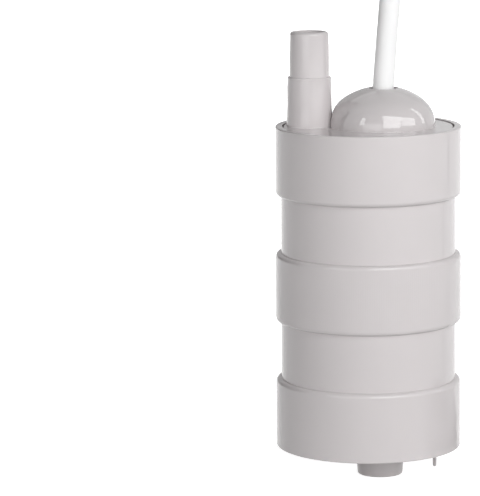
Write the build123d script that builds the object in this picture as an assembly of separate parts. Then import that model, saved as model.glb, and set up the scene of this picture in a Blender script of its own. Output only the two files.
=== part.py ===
from build123d import *
import os
from math import ceil, copysign, cos, pi, radians, sin, sqrt, tan

# Submersible water pump for the fresh-water tank of a caravan or camper.
# Millimetres. The origin is on the housing's axis, at the level of the inlet's mouth, on which the
# pump stands. Z points up, -Y is the front, and +X is the side of the cable.

# Housing
housing_diameter = 50.0
housing_height = 87.5
housing_wall = 1.85
band_height = 18.8
waist_depth = 1.45
band_edge_radius = 1.25
rim_wall = 1.85
rim_edge_radius = 0.4

# Lid and bottom cover, both set into the housing's ends
cover_recess = 0.2
cover_side_gap = 0.4
flange_thickness = 3.0
skirt_length = 6.0
skirt_wall = 2.4
skirt_side_gap = 0.15
collar_wall = 0.75
o_ring_section = 1.5
o_ring_groove_width = 2.0

# Hose spigot on the lid
spigot_height = 25.5
spigot_step_height = 13.4
spigot_bore = 7.8
spigot_to_lid_edge = 0.8
small_hose_seat_diameter = 10.7
small_hose_seat_length = 6.0
spigot_tip_diameter = 10.36
large_hose_seat_diameter = 12.0
large_hose_seat_bottom = 5.5
large_hose_seat_length = 5.0
large_step_diameter = 11.74
spigot_base_diameter = 12.4
spigot_tip_radius = 0.8
spigot_step_radius = 0.3
spigot_foot_radius = 0.3

# Cable dome
dome_offset = 3.8
dome_radius = 14.3
dome_height = 10.6
dome_foot = 0.2
dome_side_radius = 8.9
dome_wall = 2.0
dome_spigot_gap = 0.1
dome_hole_offset = 4.0
cable_hole_gap = 1.05
grommet_radius = 5.4
grommet_height = 3.4
grommet_depth = 7.4
potting_edge_gap = 1.4
potting_depth = 3.5
cable_well_radius = 8.0

# Cable
cable_diameter = 5.7
core_diameter = 2.2
core_spacing = 2.6
coil_gap = 0.45
coil_outer_radius = 34.0
coil_turns = 3.5
coil_climb_turns = 0.5
coil_centre_x = 70.5
bend_share = 0.45
core_end_run = 8.0
core_end_bend_radius = 4.4
ferrule_pin_diameter = 1.6
ferrule_pin_length = 5.0
ferrule_sleeve_diameter = 3.0
ferrule_sleeve_length = 5.5

# Inlet
inlet_length = 8.2
inlet_top_diameter = 13.36
inlet_mouth_diameter = 12.3
inlet_bore = 8.4
inlet_edge_radius = 0.5
inlet_lip_height = 0.5
inlet_lip_wall = 1.4
stand_pin_diameter = 1.05
stand_pin_x = 18.25
stand_pin_y = 7.5

# Impeller and pump casing
motor_offset = 3.2
impeller_diameter = 24.0
impeller_floor_gap = 0.8
blade_height = 4.4
blade_thickness = 1.0
blade_count = 6
blade_curve_radius = 9.0
blade_eye_gap = 0.3
backplate_thickness = 1.2
impeller_hub_diameter = 6.4
impeller_hub_drop = 2.2
hub_rise = 0.6
impeller_roof_gap = 1.0
casing_offset = 1.0
casing_side_gap = 2.3
casing_wall = 1.9
casing_roof_thickness = 1.2
casing_outlet_width = 8.0
casing_register_height = 2.0
casing_register_wall = 0.95

# Motor capsule and shaft seal
capsule_wall = 1.1
seal_diameter = 10.0
seal_height = 5.0
seal_floor = 1.2
seal_lip_height = 3.2
seal_lip_wall = 0.9
seal_rim_wall = 1.1
garter_wire = 0.6
seal_end_gap = 0.2
capsule_web = 2.6
capsule_floor = 2.5
capsule_boss_wall = 3.4
capsule_shoulder_width = 2.0
retainer_thickness = 1.0
retainer_width = 4.1
retainer_hole_gap = 1.2

# Motor
can_diameter = 27.7
can_length = 34.5
can_wall = 0.9
motor_boss_diameter = 10.0
motor_boss_height = 2.2
bearing_diameter = 6.0
bearing_length = 3.0
bearing_web = 0.6
shaft_diameter = 2.3
shaft_hole_gap = 0.45
magnet_thickness = 3.6
magnet_length = 22.0
magnet_angle = 130.0
magnet_rise = 6.0
air_gap = 0.45
pole_count = 5
stack_length = 18.0
stack_rise = 8.0
pole_hub_radius = 3.4
pole_arm_width = 2.0
pole_shoe_thickness = 1.3
pole_shoe_angle = 58.0
winding_overhang = 2.2
winding_angle = 60.0
commutator_radius = 3.4
commutator_hub_radius = 2.2
commutator_length = 4.8
commutator_gap = 1.2
commutator_slot_angle = 8.0
collar_radius = 2.4
bell_thickness = 2.5
bell_rim_depth = 3.0
bell_rim_wall = 1.2
bell_boss_wall = 1.6
brush_width = 3.0
brush_height = 3.0
brush_spring_room = 1.8
brush_rise = 30.6
terminal_edge_gap = 4.85
terminal_thickness = 0.5
terminal_width = 2.8
terminal_height = 6.5
brush_spring_thickness = 0.2
brush_spring_height = 2.4
spacer_wall = 1.5

# Wires from the resin to the terminals
core_straight_length = 6.6
core_bend_radius = 2.2

# Capacitor between the terminals
capacitor_radius = 3.2
capacitor_thickness = 2.4
capacitor_lead_diameter = 0.6
capacitor_lead_spacing = 4.0
capacitor_rise = 3.5
capacitor_lead_drop = 0.8

# Clearances
bond_gap = 0.05
running_gap = 0.04
lip_gap = 0.05
squeeze_gap = 0.05
collar_end_gap = 0.2
cut_past = 1.0
edge_tolerance = 0.01

# Levels and radii that follow from the sizes above
housing_radius = housing_diameter / 2
waist_radius = housing_radius - waist_depth
bore_radius = waist_radius - housing_wall
rebate_radius = housing_radius - rim_wall
waist_height = (housing_height - 3 * band_height) / 2
housing_bottom = inlet_length
housing_top = housing_bottom + housing_height
flange_radius = rebate_radius - cover_side_gap
skirt_radius = bore_radius - skirt_side_gap
groove_depth = o_ring_section - skirt_side_gap + 2 * squeeze_gap

lid_top = housing_top - cover_recess
lid_ledge = lid_top - flange_thickness
lid_skirt_bottom = lid_ledge - skirt_length
cover_bottom = housing_bottom + cover_recess
cover_ledge = cover_bottom + flange_thickness
cover_skirt_top = cover_ledge + skirt_length

spigot_base_radius = spigot_base_diameter / 2
spigot_x = spigot_base_radius + spigot_to_lid_edge - flange_radius
spigot_top = lid_top + spigot_height
spigot_step = lid_top + spigot_step_height

blade_bottom = cover_ledge + impeller_floor_gap
blade_top = blade_bottom + blade_height
backplate_top = blade_top + backplate_thickness
hub_top = backplate_top + hub_rise
hub_bottom = blade_top - impeller_hub_drop
casing_roof = backplate_top + impeller_roof_gap
capsule_bottom = casing_roof + casing_roof_thickness
casing_x = motor_offset - casing_offset
casing_bore_radius = impeller_diameter / 2 + casing_side_gap
casing_radius = casing_bore_radius + casing_wall

can_radius = can_diameter / 2
capsule_bore_radius = can_radius + 2 * bond_gap
capsule_radius = capsule_bore_radius + capsule_wall
seal_pocket_radius = seal_diameter / 2
seal_pocket_top = capsule_bottom + seal_height + seal_end_gap
boss_bottom = seal_pocket_top + capsule_web
motor_face = boss_bottom + motor_boss_height
shaft_radius = shaft_diameter / 2
retainer_radius = shaft_radius + retainer_hole_gap + retainer_width
shaft_hole_radius = shaft_radius + shaft_hole_gap
bearing_radius = bearing_diameter / 2
lower_bearing_bottom = boss_bottom + bearing_web
lower_bearing_top = lower_bearing_bottom + bearing_length
can_bore_radius = can_radius - can_wall
magnet_bottom = motor_face + magnet_rise
magnet_inner_radius = can_bore_radius - bond_gap - magnet_thickness
armature_radius = magnet_inner_radius - air_gap
stack_bottom = motor_face + stack_rise
stack_top = stack_bottom + stack_length
commutator_bottom = stack_top + winding_overhang + commutator_gap
commutator_top = commutator_bottom + commutator_length
bell_bottom = motor_face + can_length
bell_top = bell_bottom + bell_thickness
upper_bearing_bottom = commutator_top + 2 * collar_end_gap + commutator_gap
upper_bearing_top = upper_bearing_bottom + bearing_length
shaft_top = upper_bearing_top - collar_end_gap
shaft_bottom = hub_bottom + collar_end_gap
terminal_top = bell_top + terminal_height
terminal_offset = can_radius - terminal_edge_gap
terminal_inner_face = terminal_offset - terminal_thickness / 2
brush_inner_face = commutator_radius + lip_gap
brush_length = terminal_inner_face - brush_spring_room - brush_inner_face
collar_ring_radius = can_radius
collar_bore_radius = collar_ring_radius - groove_depth - collar_wall
capacitor_centre = terminal_top + capacitor_rise

cable_radius = cable_diameter / 2
core_radius = core_diameter / 2
potting_bottom = lid_ledge - potting_depth
dome_base = lid_top + dome_foot
dome_inner_radius = dome_radius - dome_wall
dome_hole_radius = cable_radius + cable_hole_gap
grommet_bottom = dome_base + dome_height - grommet_depth

# The cable's route, chosen by hand: straight out of the dome with its slight lean, over in one
# arch, and down behind the coil's place to the floor, where it runs into the coil's outer turn.
coil_start_x = coil_centre_x + cable_diameter
cable_start = (3.2, 0.0, dome_base + 1.3)
cable_points = [
    cable_start,
    (6.7, 0.0, dome_base + 36.3),
    (10.2, 0.0, dome_base + 67.3),
    (54.0, 9.0, 200.0),
    (93.0, 19.0, 185.0),
    (107.0, 27.0, 141.0),
    (109.9, 32.0, 90.0),
    (109.5, 34.0, 50.0),
    (109.1, 34.0, cable_radius + 22.4),
    (100.9, 34.0, cable_radius + 8.2),
    (86.7, 34.0, cable_radius),
    (coil_start_x, coil_outer_radius, cable_radius),
]


# Simple solids that the sub-parts are made from
def disc(radius, bottom, top, x=0.0, y=0.0):
    """An upright cylinder between two levels."""
    base = (Align.CENTER, Align.CENTER, Align.MIN)
    return Pos(x, y, bottom) * Cylinder(radius, top - bottom, align=base)


def ring(inner, outer, bottom, top, x=0.0, y=0.0):
    """An upright tube between two levels."""
    return disc(outer, bottom, top, x, y) - disc(inner, bottom, top, x, y)


def taper(lower_radius, upper_radius, bottom, top, x=0.0, y=0.0):
    """An upright cone between two levels."""
    base = (Align.CENTER, Align.CENTER, Align.MIN)
    return Pos(x, y, bottom) * Cone(lower_radius, upper_radius, top - bottom, align=base)


def block(length, width, bottom, top, x=0.0, y=0.0):
    """An upright box between two levels."""
    base = (Align.CENTER, Align.CENTER, Align.MIN)
    return Pos(x, y, bottom) * Box(length, width, top - bottom, align=base)


def sector(inner, outer, angle, bottom, top, turned=0.0):
    """A piece of a ring, centred on the motor's axis, that spans an angle."""
    half = radians(angle / 2)
    inner_start = (inner * cos(half), -inner * sin(half))
    inner_end = (inner * cos(half), inner * sin(half))
    outer_start = (outer * cos(half), -outer * sin(half))
    outer_end = (outer * cos(half), outer * sin(half))
    outline = [
        CenterArc((0, 0), outer, -angle / 2, angle),
        Line(outer_end, inner_end),
        CenterArc((0, 0), inner, -angle / 2, angle),
        Line(inner_start, outer_start),
    ]
    face = make_face(outline)
    return Pos(motor_offset, 0, bottom) * Rot(0, 0, turned) * extrude(face, top - bottom)


def round_edges(shape, radius, level, size):
    """The shape with its round edge of one radius at one level filleted."""
    edges = [
        edge
        for edge in shape.edges().filter_by(GeomType.CIRCLE)
        if abs(edge.radius - size) < edge_tolerance and abs(edge.center().Z - level) < edge_tolerance
    ]
    return fillet(edges, radius)


def o_ring(groove_floor, wall, level, x=0.0):
    """A ring lightly squeezed between its groove's floor and the wall that it seals on."""
    section = abs(wall - groove_floor) / 2 - squeeze_gap
    return Pos(x, 0, level) * Torus((wall + groove_floor) / 2, section)


def group(solids):
    """Several separate solids in one sub-part."""
    return Compound([solid for shape in solids for solid in shape.solids()])


# Housing
def make_housing_shell():
    shell = disc(housing_radius, housing_bottom, housing_top)
    for number in range(2):
        waist_bottom = housing_bottom + band_height + number * (band_height + waist_height)
        waist_top = waist_bottom + waist_height
        shell -= ring(waist_radius, housing_radius + cut_past, waist_bottom, waist_top)
        for level in (waist_bottom, waist_top):
            shell = round_edges(shell, band_edge_radius, level, housing_radius)
    for level in (housing_bottom, housing_top):
        shell = round_edges(shell, rim_edge_radius, level, housing_radius)
    shell -= disc(bore_radius, housing_bottom, housing_top)
    shell -= disc(rebate_radius, lid_ledge, housing_top)
    shell -= disc(rebate_radius, housing_bottom, cover_ledge)
    return shell


# Lid with the hose spigot
def make_spigot():
    """Both hose seats are short cylinders, with slight tapers between them that ease the hose on."""
    large_bottom = lid_top + large_hose_seat_bottom
    large_top = large_bottom + large_hose_seat_length
    small_top = spigot_step + small_hose_seat_length
    small_radius = small_hose_seat_diameter / 2
    large_radius = large_hose_seat_diameter / 2
    large_step_radius = large_step_diameter / 2
    tip_radius = spigot_tip_diameter / 2
    spigot = taper(spigot_base_radius, large_radius, lid_top, large_bottom, spigot_x)
    spigot += disc(large_radius, large_bottom, large_top, spigot_x)
    spigot += taper(large_radius, large_step_radius, large_top, spigot_step, spigot_x)
    spigot = round_edges(spigot, spigot_step_radius, spigot_step, large_step_radius)
    spigot += disc(small_radius, spigot_step, small_top, spigot_x)
    spigot += taper(small_radius, tip_radius, small_top, spigot_top, spigot_x)
    return round_edges(spigot, spigot_tip_radius, spigot_top, tip_radius)


def make_outlet_lid():
    groove_middle = (lid_ledge + lid_skirt_bottom) / 2
    groove_bottom = groove_middle - o_ring_groove_width / 2
    groove_top = groove_middle + o_ring_groove_width / 2
    lid = disc(flange_radius, lid_ledge, lid_top) + make_spigot()
    lid = round_edges(lid, spigot_foot_radius, lid_top, spigot_base_radius)
    lid += ring(skirt_radius - skirt_wall, skirt_radius, lid_skirt_bottom, lid_ledge)
    lid -= ring(skirt_radius - groove_depth, skirt_radius + cut_past, groove_bottom, groove_top)
    lid += ring(collar_bore_radius, collar_ring_radius, lid_skirt_bottom, lid_ledge, motor_offset)
    collar_groove = collar_ring_radius - groove_depth
    lid -= ring(collar_groove, capsule_bore_radius, groove_bottom, groove_top, motor_offset)
    lid -= disc(cable_well_radius, lid_ledge, lid_top, motor_offset)
    lid -= disc(spigot_bore / 2, lid_skirt_bottom, spigot_top, spigot_x)
    return lid


def make_lid_o_ring():
    return o_ring(skirt_radius - groove_depth, bore_radius, (lid_ledge + lid_skirt_bottom) / 2)


def make_capsule_o_ring():
    groove_floor = collar_ring_radius - groove_depth
    level = (lid_ledge + lid_skirt_bottom) / 2
    return o_ring(groove_floor, capsule_bore_radius, level, motor_offset)


# Cable entry
def oval_cap(shrunk):
    """A low oval cap: a crown arc that runs smoothly into a tighter side arc, turned round its axis."""
    side_radius = dome_side_radius - shrunk
    side_centre = dome_radius - dome_side_radius
    crown_radius = (side_centre**2 + dome_height**2 - dome_side_radius**2) / (
        2 * (dome_height - dome_side_radius)
    )
    crown_centre = dome_height - crown_radius
    towards_side = Vector(side_centre, -crown_centre).normalized()
    joint = Vector(side_centre, 0) + towards_side * side_radius
    top = (0, dome_height - shrunk)
    foot = (dome_radius - shrunk, 0)
    side_arc = TangentArc(foot, joint, tangent=(0, 1))
    crown_arc = TangentArc(joint, top, tangent=side_arc % 1)
    face = Plane.XZ * make_face([side_arc, crown_arc, Line(top, (0, 0)), Line((0, 0), foot)])
    return Pos(dome_offset, 0, dome_base) * revolve(face, Axis.Z)


def cable_rod(radius, start_depth, length):
    """A rod along the cable's first straight run, for the holes that it passes through."""
    start = Vector(*cable_start)
    along = (Vector(*cable_points[1]) - start).normalized()
    plane = Plane(start - along * start_depth, z_dir=along)
    base = (Align.CENTER, Align.CENTER, Align.MIN)
    return plane * Cylinder(radius, length, align=base)


def make_cable_dome():
    relief_radius = spigot_base_radius + spigot_foot_radius + dome_spigot_gap
    dome = oval_cap(0.0)
    dome += disc(dome_radius, lid_top, dome_base, dome_offset)
    dome -= oval_cap(dome_wall)
    dome -= disc(dome_inner_radius, lid_top, dome_base, dome_offset)
    dome -= disc(dome_hole_radius, dome_base, dome_base + dome_height, dome_hole_offset)
    dome -= disc(relief_radius, lid_top, dome_base + dome_height, spigot_x)
    return dome


def make_grommet():
    """The rubber bush that holds the cable inside the dome, on top of the resin."""
    grommet = disc(grommet_radius, grommet_bottom, grommet_bottom + grommet_height, dome_hole_offset)
    return grommet - cable_rod(cable_radius + bond_gap, 0.0, dome_height)


def make_potting_plug():
    """The resin cast round the cable's start, from the dome down into the lid's inner collar."""
    top_radius = dome_inner_radius - potting_edge_gap
    plug = disc(top_radius, lid_top, grommet_bottom, dome_offset)
    plug += disc(cable_well_radius - bond_gap, lid_ledge, lid_top, motor_offset)
    plug += disc(collar_bore_radius - bond_gap, potting_bottom, lid_ledge, motor_offset)
    return plug - cable_rod(cable_radius + bond_gap, 0.0, dome_height)


# Bottom cover with the inlet nozzle and the stand-off pin
def make_bottom_cover():
    groove_middle = (cover_ledge + cover_skirt_top) / 2
    groove_bottom = groove_middle - o_ring_groove_width / 2
    groove_top = groove_middle + o_ring_groove_width / 2
    lip_radius = inlet_bore / 2 + inlet_lip_wall
    nozzle = taper(inlet_mouth_diameter / 2, inlet_top_diameter / 2, 0.0, cover_bottom, motor_offset)
    nozzle = round_edges(nozzle, inlet_edge_radius, 0.0, inlet_mouth_diameter / 2)
    pin_radius = stand_pin_diameter / 2
    pin = disc(pin_radius, pin_radius, cover_bottom, stand_pin_x, stand_pin_y)
    pin += Pos(stand_pin_x, stand_pin_y, pin_radius) * Sphere(pin_radius)
    cover = disc(flange_radius, cover_bottom, cover_ledge) + nozzle + pin
    cover += ring(skirt_radius - skirt_wall, skirt_radius, cover_ledge, cover_skirt_top)
    cover -= ring(skirt_radius - groove_depth, skirt_radius + cut_past, groove_bottom, groove_top)
    cover += disc(lip_radius, cover_ledge, cover_ledge + inlet_lip_height, motor_offset)
    return cover - disc(inlet_bore / 2, 0.0, cover_ledge + inlet_lip_height, motor_offset)


def make_bottom_o_ring():
    return o_ring(skirt_radius - groove_depth, bore_radius, (cover_ledge + cover_skirt_top) / 2)


# Pump casing and impeller
def make_pump_casing():
    """The ring that guides the water round the impeller, with its outlet towards the hose's side."""
    casing = ring(casing_bore_radius, casing_radius, cover_ledge, capsule_bottom, casing_x)
    casing += disc(casing_radius, casing_roof, capsule_bottom, casing_x)
    register_bore = capsule_radius + bond_gap
    register_radius = register_bore + casing_register_wall
    register_top = capsule_bottom + casing_register_height
    casing += ring(register_bore, register_radius, casing_roof, register_top, motor_offset)
    casing += disc(register_bore, casing_roof, capsule_bottom, motor_offset)
    casing -= disc(retainer_radius + bond_gap, casing_roof, capsule_bottom, motor_offset)
    outlet_middle = casing_x - casing_radius
    outlet_length = 2 * (casing_radius - casing_bore_radius + cut_past)
    return casing - block(outlet_length, casing_outlet_width, cover_ledge, casing_roof, outlet_middle)


def make_impeller():
    """Six curved blades under a disc, open towards the inlet."""
    radius = impeller_diameter / 2
    hub_radius = impeller_hub_diameter / 2
    eye_radius = inlet_bore / 2 + blade_eye_gap
    impeller = disc(radius, blade_top, backplate_top, motor_offset)
    impeller += disc(hub_radius, hub_bottom, hub_top, motor_offset)
    shift_x = (eye_radius + radius) / 2
    shift_y = sqrt(blade_curve_radius**2 - (shift_x - eye_radius) ** 2)
    sweep_band = ring(eye_radius, radius, blade_bottom, blade_top)
    inner = blade_curve_radius - blade_thickness / 2
    outer = blade_curve_radius + blade_thickness / 2
    arc = ring(inner, outer, blade_bottom, blade_top, shift_x, shift_y)
    near_side = block(2 * radius, 2 * radius, blade_bottom, blade_top, 0, shift_y - radius)
    blade = (arc & sweep_band & near_side).solids().sort_by(Axis.X)[-1]
    for number in range(blade_count):
        impeller += Pos(motor_offset, 0, 0) * Rot(0, 0, number * 360 / blade_count) * blade
    return impeller - disc(shaft_radius, shaft_bottom, hub_top, motor_offset)


# Motor capsule and shaft seal
def make_motor_capsule():
    boss_radius = seal_pocket_radius + capsule_boss_wall
    core_out_radius = capsule_bore_radius - capsule_shoulder_width
    capsule = disc(capsule_radius, capsule_bottom, lid_ledge, motor_offset)
    capsule -= disc(capsule_bore_radius, motor_face, lid_ledge, motor_offset)
    capsule -= ring(boss_radius, core_out_radius, capsule_bottom + capsule_floor, motor_face, motor_offset)
    capsule -= disc(seal_pocket_radius, capsule_bottom, seal_pocket_top, motor_offset)
    capsule -= disc(shaft_hole_radius, seal_pocket_top, boss_bottom, motor_offset)
    return capsule - disc(motor_boss_diameter / 2 + bond_gap, boss_bottom, motor_face, motor_offset)


def make_lip_seal():
    lip_bore = shaft_radius + lip_gap
    lip_radius = lip_bore + seal_lip_wall
    rim_radius = seal_pocket_radius - bond_gap
    rim_bore = rim_radius - seal_rim_wall
    seal = ring(lip_bore, rim_radius, capsule_bottom, capsule_bottom + seal_floor, motor_offset)
    seal += ring(rim_bore, rim_radius, capsule_bottom, capsule_bottom + seal_height, motor_offset)
    return seal + ring(lip_bore, lip_radius, capsule_bottom, capsule_bottom + seal_lip_height, motor_offset)


def make_garter_spring():
    """The closed ring of fine wire that presses the seal's lip on to the shaft."""
    lip_radius = shaft_radius + lip_gap + seal_lip_wall
    level = capsule_bottom + seal_lip_height - garter_wire
    spring_radius = lip_radius + garter_wire / 2 + squeeze_gap
    return Pos(motor_offset, 0, level) * Torus(spring_radius, garter_wire / 2)


def make_seal_retainer():
    bottom = capsule_bottom - retainer_thickness
    return ring(shaft_radius + retainer_hole_gap, retainer_radius, bottom, capsule_bottom, motor_offset)


# Motor, still parts
def make_motor_can():
    boss_radius = motor_boss_diameter / 2
    floor_top = motor_face + can_wall
    can = disc(can_radius, motor_face, bell_bottom, motor_offset)
    can -= disc(can_bore_radius, floor_top, bell_bottom, motor_offset)
    can += disc(boss_radius, boss_bottom, motor_face, motor_offset)
    can -= disc(bearing_radius + bond_gap, lower_bearing_bottom, floor_top, motor_offset)
    return can - disc(shaft_hole_radius, boss_bottom, lower_bearing_bottom, motor_offset)


def make_magnets():
    outer = can_bore_radius - bond_gap
    top = magnet_bottom + magnet_length
    magnets = []
    for turned in (0, 180):
        magnets.append(sector(magnet_inner_radius, outer, magnet_angle, magnet_bottom, top, turned))
    return group(magnets)


def make_bearing(bottom):
    return ring(shaft_radius + running_gap, bearing_radius, bottom, bottom + bearing_length, motor_offset)


def make_end_bell():
    """The plastic end of the motor, with the upper bearing's seat and the slots of the terminals."""
    rim_radius = can_bore_radius - bond_gap
    boss_radius = bearing_radius + bell_boss_wall
    boss_top = upper_bearing_top + bell_boss_wall
    slot_length = terminal_thickness + 2 * bond_gap
    slot_width = terminal_width + 2 * bond_gap
    bell = disc(can_radius, bell_bottom, bell_top, motor_offset)
    rim_bottom = bell_bottom - bell_rim_depth
    bell += ring(rim_radius - bell_rim_wall, rim_radius, rim_bottom, bell_bottom, motor_offset)
    bell += disc(boss_radius, bell_top, boss_top, motor_offset)
    bell -= disc(bearing_radius + bond_gap, bell_bottom, upper_bearing_top, motor_offset)
    for side in (-1, 1):
        bell -= block(slot_length, slot_width, bell_bottom, bell_top, motor_offset + side * terminal_offset)
    return bell


def make_terminals():
    bottom = motor_face + brush_rise
    terminals = []
    for side in (-1, 1):
        middle = motor_offset + side * terminal_offset
        terminals.append(block(terminal_thickness, terminal_width, bottom, terminal_top, middle))
    return group(terminals)


def make_brushes():
    bottom = motor_face + brush_rise
    top = bottom + brush_height
    face = disc(brush_inner_face, bottom, top, motor_offset)
    brushes = []
    for side in (-1, 1):
        middle = motor_offset + side * (brush_inner_face + brush_length / 2)
        brushes.append(block(brush_length, brush_width, bottom, top, middle) - face)
    return group(brushes)


def make_brush_springs():
    """A bowed leaf between each brush and its terminal."""
    outer = brush_spring_room / 2 - squeeze_gap
    bottom = motor_face + brush_rise + (brush_height - brush_spring_height) / 2
    bow = ring(outer - brush_spring_thickness, outer, bottom, bottom + brush_spring_height)
    half = block(2 * outer, 2 * outer, bottom, bottom + brush_spring_height, 0, outer)
    middle = terminal_inner_face - brush_spring_room / 2
    return group([Pos(motor_offset + side * middle, 0, 0) * (bow & half) for side in (-1, 1)])


def make_motor_spacer():
    """The sleeve that passes the lid's pressure on to the motor's end."""
    return ring(can_radius - spacer_wall, can_radius, bell_top, lid_skirt_bottom, motor_offset)


def make_capacitor():
    body = Cylinder(capacitor_radius, capacitor_thickness)
    body = Pos(motor_offset, 0, capacitor_centre) * Rot(90, 0, 0) * body
    lead_level = terminal_top - capacitor_lead_drop
    leads = []
    for side in (-1, 1):
        outer_end = (motor_offset + side * terminal_inner_face, 0, lead_level)
        corner = (motor_offset + side * capacitor_lead_spacing / 2, 0, lead_level)
        upper_end = (motor_offset + side * capacitor_lead_spacing / 2, 0, capacitor_centre)
        path = FilletPolyline([outer_end, corner, upper_end], radius=capacitor_lead_drop)
        leads.append(tube(path, capacitor_lead_diameter / 2) - body)
    return group([body] + leads)


def make_supply_cores():
    """The two insulated wires inside the capsule, from the resin down to the terminals."""
    cores = []
    for side in (-1, 1):
        near = motor_offset + side * core_spacing / 2
        far = motor_offset + side * terminal_offset
        points = [
            (near, 0, potting_bottom),
            (near, 0, potting_bottom - core_straight_length),
            (far, 0, terminal_top + core_straight_length),
            (far, 0, terminal_top),
        ]
        cores.append(tube(FilletPolyline(points, radius=core_bend_radius), core_radius))
    return group(cores)


# Rotor
def make_shaft():
    return disc(shaft_radius, shaft_bottom, shaft_top, motor_offset)


def make_armature_core():
    """The stack of plates: a hub, its arms, and a curved shoe on the end of each arm."""
    core = disc(pole_hub_radius, stack_bottom, stack_top, motor_offset)
    shoe_bore = armature_radius - pole_shoe_thickness
    for number in range(pole_count):
        turned = number * 360 / pole_count
        arm = block(shoe_bore, pole_arm_width, stack_bottom, stack_top, shoe_bore / 2)
        core += Pos(motor_offset, 0, 0) * Rot(0, 0, turned) * arm
        inner, outer = shoe_bore - squeeze_gap, armature_radius
        core += sector(inner, outer, pole_shoe_angle, stack_bottom, stack_top, turned)
    return core - disc(shaft_radius, stack_bottom, stack_top, motor_offset)


def make_armature_windings():
    """One coil round each arm, with its ends standing past the stack."""
    bottom = stack_bottom - winding_overhang
    top = stack_top + winding_overhang
    inner = pole_hub_radius + bond_gap
    outer = armature_radius - pole_shoe_thickness - 2 * squeeze_gap
    core = make_armature_core()
    coils = []
    for number in range(pole_count):
        turned = number * 360 / pole_count
        coils.append(sector(inner, outer, winding_angle, bottom, top, turned) - core)
    return group(coils)


def make_commutator_hub():
    return ring(shaft_radius, commutator_hub_radius, commutator_bottom, commutator_top, motor_offset)


def make_commutator_segments():
    angle = 360 / pole_count
    span = angle - commutator_slot_angle
    inner, outer = commutator_hub_radius, commutator_radius
    segments = []
    for number in range(pole_count):
        segments.append(sector(inner, outer, span, commutator_bottom, commutator_top, number * angle))
    return group(segments)


def make_shaft_collars():
    lower_bottom = lower_bearing_top + collar_end_gap
    upper_top = upper_bearing_bottom - collar_end_gap
    lower = ring(shaft_radius, collar_radius, lower_bottom, stack_bottom, motor_offset)
    middle = ring(shaft_radius, collar_radius, stack_top, commutator_bottom, motor_offset)
    upper = ring(shaft_radius, collar_radius, commutator_top, upper_top, motor_offset)
    return group([lower, middle, upper])


# Cable
def tube(path, radius):
    """A round rod along a path."""
    wire = path if isinstance(path, Wire) else Wire(path.edges())
    start = Plane(wire @ 0, z_dir=wire % 0)
    return sweep(start * Circle(radius), path=wire)


def bend_radii(points, lead_in=0.0):
    """The largest radius that each corner's two runs leave room for."""
    spots = [Vector(*point) for point in points]
    radii = []
    for number in range(1, len(spots) - 1):
        before = spots[number] - spots[number - 1]
        after = spots[number + 1] - spots[number]
        after_length = after.length + (lead_in if number == len(spots) - 2 else 0.0)
        half_turn = radians(before.get_angle(after) / 2)
        radii.append(bend_share * min(before.length, after_length) / tan(half_turn))
    return radii


def make_cable():
    radii = bend_radii(cable_points, cable_diameter)
    print("cable bend radii, mm:", [round(radius, 1) for radius in radii])
    path = FilletPolyline(*cable_points, radius=radii)
    print("cable free length, mm:", round(path.length, 2))
    return tube(path, cable_radius)


def coil_spot(turns):
    """A point of the coil's centreline and its direction, a number of turns from its start."""
    pitch = cable_diameter + coil_gap
    half = coil_turns / 2
    radius = coil_outer_radius - pitch * min(turns, coil_turns - turns)
    slope = 0.0 if turns in (0, half, coil_turns) else copysign(pitch, turns - half)
    climb = min(max((turns - half) / coil_climb_turns + 1 / 2, 0.0), 1.0)
    rise = pitch * (1 - cos(pi * climb)) / 2
    rise_rate = pitch * pi * sin(pi * climb) / (2 * coil_climb_turns)
    angle = 2 * pi * (turns + 1 / 4)
    spot = Vector(coil_centre_x + radius * cos(angle), radius * sin(angle), cable_radius + rise)
    along = Vector(
        slope * cos(angle) - 2 * pi * radius * sin(angle),
        slope * sin(angle) + 2 * pi * radius * cos(angle),
        rise_rate,
    )
    return spot, along.normalized()


def biarc(start, start_along, end, end_along):
    """Two arcs that join two points, tangent to a direction at each."""
    across = end - start
    both = start_along + end_along
    spread = 2 * (1 - start_along.dot(end_along))
    along = across.dot(both)
    reach = (sqrt(along**2 + spread * across.dot(across)) - along) / spread
    middle = (start + end + (start_along - end_along) * reach) / 2
    first = TangentArc(start, middle, tangent=start_along)
    second = TangentArc(middle, end, tangent=-end_along, tangent_from_first=False)
    return [first, second]


def coil_path():
    """Straight in, quarter turns that spiral in, climb and spiral out, and straight out again."""
    quarters = round(4 * coil_turns)
    spots = [coil_spot(number / 4) for number in range(quarters + 1)]
    edges = [Line(Vector(*cable_points[-1]), spots[0][0])]
    for (start, start_along), (end, end_along) in zip(spots, spots[1:]):
        edges += biarc(start, start_along, end, end_along)
    last_spot, last_along = spots[-1]
    coil_end = last_spot + last_along * cable_diameter
    edges.append(Line(last_spot, coil_end))
    return Wire(edges), coil_end, last_along


def least_gap(path, diameter):
    """The least gap between turns, measured on points of the centreline."""
    count = ceil(path.length)
    points = [path @ (number / count) for number in range(count + 1)]
    apart = ceil(pi * diameter)
    return min(
        (points[one] - points[other]).length - diameter
        for one in range(count + 1)
        for other in range(one + apart, count + 1)
    )


def make_cable_coil():
    path, coil_end, along = coil_path()
    print("coil length, mm:", round(path.length, 2))
    print("coil's least gap to itself, mm:", round(least_gap(path, cable_diameter), 3))
    return tube(path, cable_radius), coil_end, along


def far_end_paths(coil_end, along):
    """The two stripped cores, which part and come down to the floor."""
    aside = Vector(-along.Y, along.X, 0)
    fall = Vector(0, 0, coil_end.Z - ferrule_sleeve_diameter / 2)
    paths = []
    for side in (-1, 1):
        start = coil_end + aside * (side * core_spacing / 2)
        first_bend = start + along * core_end_run
        second_bend = first_bend + along * core_end_run + aside * ((side + 1) * core_spacing) - fall
        paths.append([start, first_bend, second_bend, second_bend + along * core_end_run])
    return paths


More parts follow.
